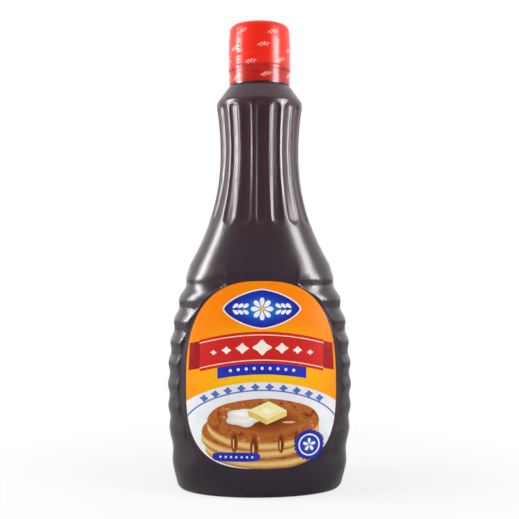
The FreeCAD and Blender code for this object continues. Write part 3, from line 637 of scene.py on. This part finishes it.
def film_sheet(place, stand, low, high, rows=1, columns=1):
    """The same for a shape with four sides: an even net over the unit square, in front and behind, with
    a strip of quads round its edge."""
    a, b = np.meshgrid(np.linspace(-1, 1, columns + 1), np.linspace(-1, 1, rows + 1))
    net = np.arange(a.size).reshape(a.shape)
    quads = np.stack([net[:-1, :-1], net[:-1, 1:], net[1:, 1:], net[1:, :-1]], axis=-1).reshape(-1, 4)
    rim = np.concatenate([net[0, :-1], net[:-1, -1], net[-1, :0:-1], net[:0:-1, 0]])
    on = np.roll(rim, -1)
    strip = np.stack([rim, rim + a.size, on + a.size, on], axis=-1)
    x, z = place(a.ravel(), b.ravel())
    points = np.concatenate([stand(x, z, high), stand(x, z, low)])
    faces = np.concatenate([quads, quads[:, ::-1] + a.size, strip])
    return points, faces.tolist(), np.tile(np.stack([a.ravel(), b.ravel()], axis=-1), (2, 1))


def patch_piece(name, patches, material, slot, sharp=50):
    """One piece from thin patches. Each point keeps its place on its patch's disc as attribute 'disc'."""
    start, points, faces, discs = 0, [], [], []
    for part_points, part_faces, disc in patches:
        points.append(part_points)
        faces += [[start + corner for corner in face] for face in part_faces]
        discs.append(disc)
        start += len(part_points)
    discs = np.concatenate(discs)
    made = make_piece(name, np.concatenate(points), faces, material, slot, sharp)
    places = made.data.attributes.new("disc", "FLOAT_VECTOR", "POINT")
    places.data.foreach_set("vector", np.concatenate([discs, 0 * discs[:, :1]], axis=1).ravel())
    return made


def drop(x, z, length, tilt):
    """A leaning drop: a disc whose half-width thins towards its tip as (1 - b) / 2 to the power 0.6."""
    def place(a, b):
        width = 0.34 * length * a * (0.25 + 0.75 * np.clip((1 - b) / 2, 0, 1) ** 0.6)
        along = 0.5 * length * b
        return (x + width * math.cos(tilt) + along * math.sin(tilt),
                z - width * math.sin(tilt) + along * math.cos(tilt))
    return place


# Small white sprigs are printed all round the film, in slanting rows.
white_ink, tree = blank("white_screen_ink")
where = add(tree, "TexCoord").outputs["Object"]
worn = add(tree, "TexNoise", None, {"Vector": where, "Scale": 1 / (0.6 * MM), "Detail": 2.0})
tone = add(tree, "ValToRGB", {"stops": [(0.35, hue("EE8F88")), (0.6, hue("F6C6C0"))]}, {0: worn.outputs[0]})
printed_white = add(tree, "BsdfPrincipled", None, {
    "Base Color": tone.outputs[0], "Roughness": 0.25, "IOR": 1.5})
add(tree, "OutputMaterial", None, {"Surface": printed_white.outputs[0]})


def stem(x, z, length, tilt):
    """A thin stroke that bends like an arc: its height is bowed by the square of the place along it."""
    def place(a, b):
        along, across = 0.5 * length * a, 0.11 * b + 0.5 * (1 - a * a)
        return (x + along * math.cos(tilt) - across * math.sin(tilt),
                z + along * math.sin(tilt) + across * math.cos(tilt))
    return place


# leaves of a sprig, by their place along its stem and beside it: the first four stand above the stem
LEAVES = [(-2.2, 0.7), (-0.8, 1.1), (0.7, 1.1), (2.2, 0.7), (-1.4, -0.4), (0.1, -0.1), (1.6, -0.4)]
marks = []
for row, (z, shift) in enumerate([(218.0, 3.0), (225.4, 12.0), (232.6, 1.5), (240.2, 7.0)]):
    for k in range(6):
        x = shift + k * math.tau * (CAP_RADIUS + FILM) / 6
        rise = z + 0.9 * math.sin(2.1 * k + row)
        tilt = 0.25 + 0.15 * math.sin(1.7 * k + 2 * row)
        marks.append(film_sheet(stem(x, rise, 7.0, tilt), on_sleeve, 0.0, 0.02, columns=16))
        for leaf, (along, side) in enumerate(LEAVES):
            leaf_x = x + along * math.cos(tilt) - side * math.sin(tilt)
            leaf_z = rise + along * math.sin(tilt) + side * math.cos(tilt)
            lean = (0.8 if leaf < 4 else 2.3) - tilt
            leaf_shape = drop(leaf_x, leaf_z, 1.25, lean)
            marks.append(film_patch(leaf_shape, on_sleeve, 0.0, 0.02, rings=2, columns=12))
patch_piece("sleeve_sprigs", marks, white_ink, "sleeve_film")

# The perforation is a row of punched holes, drawn as dark matt discs: the dark neck inside, deepened by
# painted shade in each hole.
hole_shade, tree = blank("punched_hole_shade")
where = add(tree, "TexCoord").outputs["Object"]
burr = add(tree, "TexNoise", None, {"Vector": where, "Scale": 1 / (0.2 * MM)})
# painted shade of the holes, a little uneven
tone = add(tree, "ValToRGB", {"stops": [(0.4, hue("1A0606")), (0.6, hue("300C0C"))]}, {0: burr.outputs[0]})
hole = add(tree, "BsdfPrincipled", None, {"Base Color": tone.outputs[0], "Roughness": 0.9, "IOR": 1.2})
add(tree, "OutputMaterial", None, {"Surface": hole.outputs[0]})
tear_line = math.radians(-42) * (CAP_RADIUS + FILM)


def spot(x, z, across, tall):
    """An ellipse of given half-sizes, or a rectangle on a sheet."""
    return lambda a, b: (x + across * a, z + tall * b)


holes = [
    film_patch(spot(tear_line, z, 0.4, 0.45), on_sleeve, 0.0, 0.03, rings=2, columns=12)
    for z in np.arange(SLEEVE_FOOT + 1.5, CAP_TOP - 4.5, 1.8)
]
patch_piece("sleeve_perforation", holes, hole_shade, "sleeve_film")

# ---------------------------------------------------------------- labels
# A varnished film label on each panel, pressed on by machine: an egg-shaped cut with a plain orange
# ground that glows yellow in the middle. The front one has a picture and ornaments, the back one rules.
GLUE, LABEL_FILM, INK = 0.04, 0.12, 0.015
FACE = GLUE + LABEL_FILM
PRIMER = 0.02


def on_front(x, z, lift):
    """Point on the front panel at x and z, at a lift from its face."""
    return np.stack(np.broadcast_arrays(x, -(panel_front(x, z) + lift), z), axis=-1)


def on_back(x, z, lift):
    """The same on the back panel, turned half way round."""
    return on_front(x, z, lift) * np.array([-1.0, -1.0, 1.0])


def bulged(x, z, across, tall, power=4):
    """A superellipse of given half-sizes: each place on the disc moves along its ray, by the unit
    superellipse's radius there. Power 4 makes a bar with round ends, and 1.5 an oval with pointed ones."""
    def place(a, b):
        turn = np.arctan2(b, a)
        ray = (np.abs(np.cos(turn)) ** power + np.abs(np.sin(turn)) ** power) ** (-1 / power)
        return x + across * a * ray, z + tall * b * ray
    return place


def egg(a, b):
    """The label's outline: half a superellipse above its widest place, and half of another below it."""
    upper = bulged(0, LABEL_WIDEST, LABEL_HALF, LABEL_TOP - LABEL_WIDEST, UPPER_POWER)
    lower = bulged(0, LABEL_WIDEST, LABEL_HALF, LABEL_WIDEST - LABEL_FOOT, LOWER_POWER)
    return np.where(b > 0, upper(a, b), lower(a, b))


def within(place, margin=0.1):
    """A shape cut off at the label's edge: x is held inside the outline at its height."""
    least = 0.05

    def cut(a, b):
        x, z = place(a, b)
        z = np.clip(z, LABEL_FOOT + margin + least, LABEL_TOP - margin - least)
        half = np.maximum(label_half(z) - margin, least)
        return np.clip(x, -half, half), z
    return cut


def varnish(tree, where, colour):
    """Ends a label's material: satin varnish over the ink, a little duller in blotches of 1.5 mm."""
    dust = add(tree, "TexNoise", None, {"Vector": where, "Scale": 1 / (1.5 * MM), "Detail": 2.0})
    rough = add(tree, "MapRange", None, {"Value": dust.outputs[0], "To Min": 0.28, "To Max": 0.34})
    varnished = add(tree, "BsdfPrincipled", None, {
        "Base Color": colour, "Roughness": rough.outputs[0], "IOR": 1.28})
    add(tree, "OutputMaterial", None, {"Surface": varnished.outputs[0]})


def printed(name, stops, source="grain", size=6.0, spread=(0.3, 0.7)):
    """Ink under the label's varnish. Its colour runs through stops by a cloudy grain of a given size in
    millimetres, by the distance from the middle of its disc, or by the place up it, broken by the grain."""
    made, tree = blank(name)
    where = add(tree, "TexCoord").outputs["Object"]
    grain = add(tree, "TexNoise", None, {"Vector": where, "Scale": 1 / (size * MM), "Detail": 4.0})
    drive = grain.outputs[0]
    if source != "grain":
        disc = add(tree, "Attribute", {"attribute_name": "disc"})
        if source == "middle":
            out = add(tree, "VectorMath", {"operation": "LENGTH"}, {0: disc.outputs["Vector"]})
            drive = out.outputs["Value"]
        else:
            up = add(tree, "SeparateXYZ", None, {0: disc.outputs["Vector"]})
            drive = add(tree, "MapRange", None, {"Value": up.outputs["Y"], "From Min": -1.0}).outputs[0]
        shake = add(tree, "MapRange", None, {"Value": grain.outputs[0], "To Min": -0.12, "To Max": 0.12})
        drive = add(tree, "Math", {"operation": "ADD"}, {0: drive, 1: shake.outputs[0]}).outputs[0]
    low, high = spread if source == "grain" else (0.0, 1.0)
    last = len(stops) - 1
    ramp = [(low + (high - low) * k / last, hue(code)) for k, code in enumerate(stops)]
    tone = add(tree, "ValToRGB", {"stops": ramp}, {0: drive})
    varnish(tree, where, tone.outputs[0])
    return made


# Polypropylene label film with offset inks under a satin varnish: the ground is orange, and its yellow
# glow lies low on the label, from the ribbon down to the picture.
GLOW_Z, GLOW_ACROSS, GLOW_TALL = 62, 44, 34
ground, tree = blank("orange_label_ink")
where = add(tree, "TexCoord").outputs["Object"]
glow = add(tree, "Mapping", None, {
    "Vector": where, "Location": (0.0, 0.0, -GLOW_Z / GLOW_TALL),
    "Scale": (1 / (GLOW_ACROSS * MM), 0.0, 1 / (GLOW_TALL * MM))})
reach = add(tree, "VectorMath", {"operation": "LENGTH"}, {0: glow.outputs[0]})
tone = add(tree, "ValToRGB", {"stops": [
    (0.3, hue("FAC406")), (0.62, hue("FDAC00")), (0.9, hue("FE8E00")), (1.0, hue("FE8700"))]},
    {0: reach.outputs["Value"]})
varnish(tree, where, tone.outputs[0])
for node, stand in (("front_label", on_front), ("back_label", on_back)):
    film = patch_piece(node + "_film", [film_patch(egg, stand, GLUE, FACE, rings=44, columns=224)],
                       ground, "label_film")
    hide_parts(node)

# ---------------------------------------------------------------- front label's print
# The picture is a plate with a stack of three pancakes, butter and syrup. Above it lie a red ribbon with
# a blue one under it and a blue medallion. Each colour is a thin layer of ink on the film.


def on_label(name, level, shapes, stops, square=False, rings=6, columns=64, stand=on_front, **grain):
    """Prints shapes on a label, a number of ink layers above the film. Square ones are sheets, with as many
    rows as the round ones have rings."""
    high = FACE + PRIMER + INK * level
    make = film_sheet if square else film_patch
    patches = [make(shape, stand, high - PRIMER, high, rings, columns) for shape in shapes]
    patch_piece(name, patches, printed(name + "_ink", stops, **grain), "label_film")


RIBBON_Z, RIBBON_FALL, RIBBON_REACH = 77.0, 5.0, 33.0


def ribbon_z(x):
    """Height of the ribbon's middle line, which falls with the square of x."""
    return RIBBON_Z - RIBBON_FALL * (x / RIBBON_REACH) ** 2


def arch(low, high, half):
    """A band along the ribbon, between two heights from its middle line and half its length each way."""
    def place(a, b):
        return half * a, ribbon_z(half * a) + (low + high) / 2 + (high - low) / 2 * b
    return place


def four_sided(corners):
    """Flat four-sided shape: a blend of its corners, lower left, lower right, upper right and upper left."""
    (ax, az), (bx, bz), (cx, cz), (dx, dz) = corners

    def place(a, b):
        u, v = (a + 1) / 2, (b + 1) / 2
        weights = ((1 - u) * (1 - v), u * (1 - v), u * v, (1 - u) * v)
        return (sum(w * c for w, c in zip(weights, (ax, bx, cx, dx))),
                sum(w * c for w, c in zip(weights, (az, bz, cz, dz))))
    return place


def wavy_round(x, z, across, tall, waves, depth, start=0.0):
    """An ellipse with a scalloped or wandering edge: its radius varies by depth in so many waves."""
    def place(a, b):
        turn = np.arctan2(b, a)
        swell = 1 + depth * np.cos(waves * turn + start) * np.hypot(a, b)
        return x + across * a * swell, z + tall * b * swell
    return place


def wall_of(x, z, across, tall, thick):
    """The side of a thick round seen from above: the lower half of its ellipse, dropped by its thickness."""
    def place(a, b):
        turn = math.pi / 2 * a
        return x + across * np.sin(turn), z - tall * np.cos(turn) - thick * (1 - b) / 2 + 0.0 * a
    return place


on_label("plate", 1, [within(spot(0, 34, 47, 25.5))], ["DCDEE3", "E8E9EC"],
         rings=30, columns=200, size=14)
on_label("plate_rim", 2, [within(spot(0, 33.2, 41, 22.6))], ["5A77C4", "4C68BA"],
         rings=28, columns=200)
on_label("plate_well", 3, [within(spot(0, 33.1, 40.2, 22.0))], ["E4E6EA", "EEEFF2"],
         rings=28, columns=200, size=10)
on_label("plate_shade", 4, [within(spot(1.5, 29.5, 33, 12.5))], ["8E8F98", "B0B2B8", "E4E6EA"],
         source="middle", rings=22, columns=160)

BROWNED = ["74300F", "9C4A1B", "B96A2C", "A5521F", "D0904C"]
CRUMB = ["9A5A26", "D9A658", "EBC583", "DDAE62", "A8682C"]
STACK = [(1.5, 29.8, 30.0, 9.6), (-1.5, 34.8, 29.0, 9.6), (0.8, 40.2, 28.4, 11.0)]
PANCAKE_THICK = 4.4
for k, (x, z, across, tall) in enumerate(STACK):
    on_label("pancake_edge_%d" % k, 5 + 2 * k, [within(wall_of(x, z, across, tall, PANCAKE_THICK))],
             CRUMB, square=True, source="up", rings=6, columns=64, size=1.6)
    on_label("pancake_face_%d" % k, 6 + 2 * k, [within(wavy_round(x, z, across, tall, 7, 0.008, k))],
             BROWNED, rings=20, columns=160, size=3.4, spread=(0.3, 0.68))
on_label("syrup_pool", 11, [wavy_round(1.5, 40.4, 21.5, 7.4, 5, 0.09, 0.8)],
         ["5E2408", "7A330E", "9A4A18", "B4682C"], source="middle", rings=8, columns=96)
on_label("syrup_drips", 12, [
    wavy_round(-14.0, 29.4, 1.7, 5.6, 2, 0.05), wavy_round(-4.0, 26.6, 2.0, 7.2, 2, 0.05),
    wavy_round(9.5, 28.8, 1.6, 5.4, 2, 0.05), wavy_round(17.5, 31.2, 1.4, 4.2, 2, 0.05)],
    ["8A3C10", "6E2C0A", "A4551E"], source="middle", rings=5, columns=40)
on_label("syrup_lights", 13, [
    spot(-14.4, 28.6, 0.35, 2.6), spot(-4.5, 25.4, 0.4, 3.2), spot(9.1, 27.8, 0.3, 2.4),
    wavy_round(-10.5, 42.2, 3.4, 0.7, 2, 0.2), wavy_round(13.5, 39.2, 2.8, 0.6, 2, 0.2)],
    ["D9A46A", "F0D3A4"], rings=3, columns=24, size=1.5)
on_label("cream", 12, [wavy_round(-9.5, 41.6, 8.6, 4.4, 5, 0.1, 0.4)], ["FAFAF8", "F2F1EC", "DAD5CB"],
         source="middle", rings=6, columns=72, size=2)
on_label("cream_top", 13, [wavy_round(-10.6, 43.4, 5.2, 2.7, 4, 0.12, 2.0)], ["FFFFFF", "F8F7F2", "E6E2DA"],
         source="middle", rings=5, columns=64, size=2)
# the pat of butter: its near corner, its left and right ones and the far one, all at the top face
NEAR, LEFT, RIGHT, FAR = np.array([(2.2, 41.0), (-7.0, 45.4), (12.4, 45.2), (3.4, 50.0)])
BUTTER_THICK = np.array([0.0, 2.8])
on_label("butter_left", 14, [four_sided([LEFT - BUTTER_THICK, NEAR - BUTTER_THICK, NEAR, LEFT])],
         ["E0BE4C", "E9CC62"], square=True, rings=2, columns=8, size=2)
on_label("butter_right", 14, [four_sided([NEAR - BUTTER_THICK, RIGHT - BUTTER_THICK, RIGHT, NEAR])],
         ["EBD173", "F2DE8C"], square=True, rings=2, columns=8, size=2)
on_label("butter_top", 15, [four_sided([NEAR, RIGHT, FAR, LEFT])],
         ["F3E795", "F8F0B4", "F5EBA0"], square=True, rings=8, columns=8, size=3)
on_label("butter_light", 16, [four_sided([(-1.0, 45.2), (3.0, 43.4), (6.0, 44.8), (2.0, 46.8)])],
         ["FBF6D2", "FDFAE4"], square=True, rings=3, columns=3, size=2)

on_label("ribbon_tails", 1, [
    four_sided([(-37.4, 64.6), (-27.0, 67.0), (-27.0, 81.0), (-36.6, 78.6)]),
    four_sided([(27.0, 67.0), (37.4, 64.6), (36.6, 78.6), (27.0, 81.0)])],
    ["A8161A", "8E1014"], square=True, rings=6, columns=10, size=5)
RED_HALF, BLUE_HALF = 31.5, 22.5
BLUE, RED = ["1E22A4", "2A3CC0"], ["CC1F1F", "D62A28"]
on_label("blue_ribbon", 2, [arch(-13.6, -7.4, BLUE_HALF)], BLUE,
         square=True, rings=4, columns=40, size=12)
on_label("red_ribbon", 3, [arch(-8.0, 8.0, RED_HALF)], RED,
         square=True, rings=8, columns=56, size=14)
on_label("ribbon_lines", 4, [arch(6.1, 6.6, RED_HALF), arch(-6.6, -6.1, RED_HALF)],
         ["F4D9B0", "F8E6C8"], square=True, rings=1, columns=56, size=4)


def lozenge(x, z, across, tall):
    """A four-pointed ornament with hollow sides: each side is drawn in by a quarter of a wave."""
    def place(a, b):
        turn = np.arctan2(b, a)
        pull = 1 - 0.36 * np.abs(np.sin(2 * turn))
        return x + across * a * pull, z + tall * b * pull
    return place


ORNAMENTS = [(0, 5.0), (-10, 3.4), (10, 3.4), (-18, 2.4), (18, 2.4), (-24.5, 1.6), (24.5, 1.6)]
on_label("ribbon_ornament", 4, [lozenge(x, ribbon_z(x), size, size * 0.8) for x, size in ORNAMENTS],
         ["F6E6D6", "FCF4EA"], rings=5, columns=48, size=4)
on_label("plate_ornament", 4, [
    within(lozenge(43.7 * math.cos(turn), 33.1 + 24.0 * math.sin(turn), 2.3, 1.9))
    for turn in np.radians(np.arange(47.5, 134, 9.4))], ["4C68BA", "5A77C4"], rings=4, columns=40, size=4)
on_label("blue_ribbon_dots", 3, [
    spot(x, ribbon_z(x) - 10.5, 0.8, 0.8) for x in np.linspace(-16, 16, 9)],
    ["D7DEF6", "EDF0FB"], rings=3, columns=24, size=2)


def daisy(x, z, petals, radius, length):
    """Drops in a ring, each with its tip at the middle."""
    turns = np.arange(petals) * math.tau / petals
    return [drop(x + radius * math.sin(turn), z + radius * math.cos(turn), length, turn + math.pi)
            for turn in turns]


MEDALLION_Z = 96.4
on_label("medallion_edge", 1, [bulged(0, MEDALLION_Z, 20.0, 10.2, 1.5)], ["EFE3C4", "F7F0DC"],
         rings=8, columns=128, size=6)
on_label("medallion", 2, [bulged(0, MEDALLION_Z, 19.1, 9.48, 1.5)],
         ["2F9AE0", "2272CC", "1F3FB4", "1C229C"], source="middle", rings=12, columns=128, size=10)
petals = daisy(0, MEDALLION_Z, petals=8, radius=3.5, length=4.4)
leaves = [drop(side * (8.3 + 2.6 * k), MEDALLION_Z + lean * 1.5, 3.4, side * (1.57 + lean * 0.62))
          for side in (-1, 1) for k in range(3) for lean in (-1, 1)]
on_label("medallion_petals", 3, petals + leaves, ["E8EDF8", "F8FAFE"], rings=4, columns=32, size=3)
on_label("medallion_eye", 4, [spot(0, MEDALLION_Z, 1.5, 1.5)], ["E8B23A", "F2C95C"],
         rings=3, columns=32, size=1)

SEAL = (24.0, 27.4)
on_label("seal", 14, [wavy_round(*SEAL, 7.6, 7.6, 22, 0.045)], ["1D2296", "2A35AE"],
         rings=6, columns=176, size=4)
on_label("seal_ring", 15, [spot(*SEAL, 5.6, 5.6)], ["DCE2F2", "EEF1FA"], rings=5, columns=64, size=3)
on_label("seal_face", 16, [spot(*SEAL, 4.8, 4.8)], ["2E6FC8", "2450B4", "1F2F9E"],
         source="middle", rings=5, columns=64, size=3)
on_label("seal_flower", 17, daisy(*SEAL, petals=5, radius=1.9, length=2.9), ["F4F1E6", "FBF9F2"],
         rings=3, columns=24, size=2)

BAR_X, BAR_Z = -13.0, 21.8
on_label("blue_bar", 14, [bulged(BAR_X, BAR_Z, 12.0, 2.3)], ["1F249C", "2A38B4"],
         rings=6, columns=96, size=5)
on_label("blue_bar_dots", 15, [spot(BAR_X + x, BAR_Z, 0.55, 0.55) for x in np.linspace(-8, 8, 7)],
         ["E3E8F8", "F2F4FC"], rings=3, columns=20, size=2)

# ---------------------------------------------------------------- back label's print
# The back has the plain furniture of a grocery label: a pale table with rules and grey bars where the
# small print would be, between a blue bar and a red one.

RULE_STEP = 4.4
TABLE_HALF = 21
on_label("back_table", 1, [bulged(0, 60, 25, 25)], ["F2EEE2", "F8F5EC"],
         rings=20, columns=128, stand=on_back)
on_label("back_rules", 2, [spot(0, z, TABLE_HALF + 1, 0.28) for z in np.arange(42, 80, RULE_STEP)],
         ["3A3436", "4A4446"], square=True, rings=1, columns=36, stand=on_back, size=3)
# grey bars stand where the words and the amounts of a table would be, on each line between the rules
WORDS, AMOUNTS = (7.5, 9.0, 6.0, 8.2, 5.4, 9.4, 7.0, 8.0), (2.4, 3.0, 2.2, 3.2, 2.6, 2.2, 3.0, 2.4)
lines = np.arange(44.2, 76, RULE_STEP)
bars = [spot(half - TABLE_HALF, z, half, 0.75) for z, half in zip(lines, WORDS)]
bars += [spot(TABLE_HALF - half, z, half, 0.75) for z, half in zip(lines, AMOUNTS)]
on_label("back_bars", 2, bars, ["6A6264", "7C7476"],
         square=True, rings=1, columns=16, stand=on_back, size=3)
on_label("back_blue_bar", 1, [bulged(0, 93, 17, 4.2)], BLUE, rings=14, columns=96, stand=on_back)
on_label("back_red_bar", 1, [within(spot(0, 26.5, 40, 3.2))], RED,
         square=True, rings=6, columns=64, stand=on_back)
